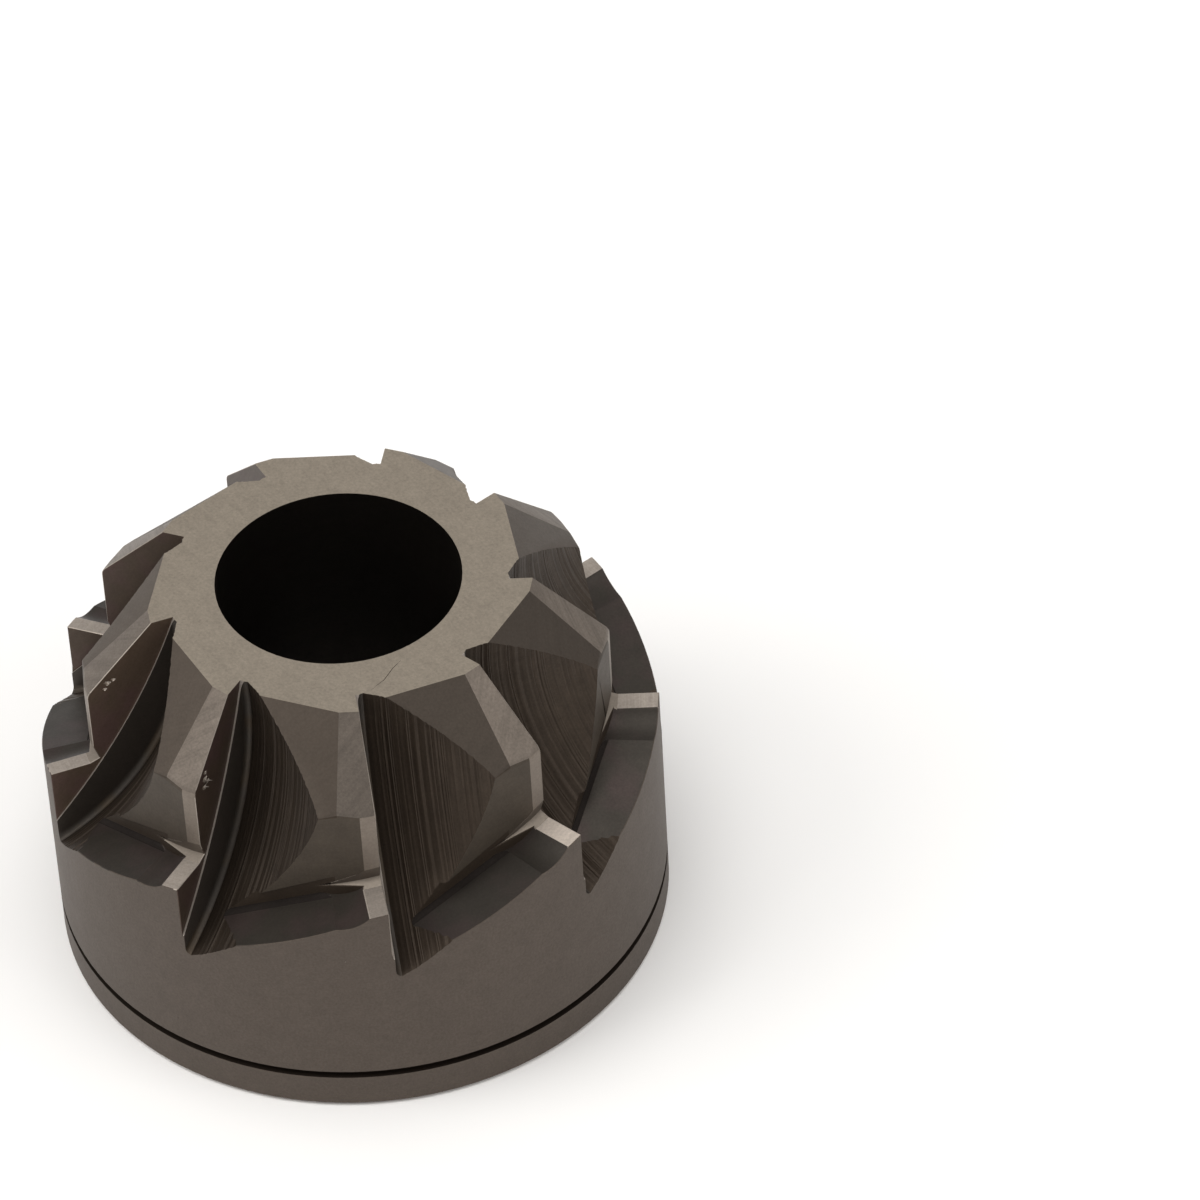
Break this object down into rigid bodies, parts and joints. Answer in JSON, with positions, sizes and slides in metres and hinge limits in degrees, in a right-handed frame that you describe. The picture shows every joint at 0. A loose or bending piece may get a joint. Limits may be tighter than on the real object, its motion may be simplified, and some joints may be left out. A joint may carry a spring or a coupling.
{
  "type": "head tube facing cutter",
  "caption": "Ring-shaped bicycle frame cutter with a pilot bore: ground teeth ream the head tube's bearing seat, chamfer it and face the tube end square.",
  "frame": {"origin": "centre of the bore on the flat base", "axes": "+Z along the bore axis towards the small flat top; the first tooth's rake face is parallel to the XZ plane and faces +Y"},
  "size_m": [0.0484, 0.0484, 0.0335],
  "materials": {
    "tool_steel": "hardened and bead-blasted body with ground lands"
  },
  "bodies": {
    "root": {"cutter": "tool_steel"}
  },
  "joints": []
}
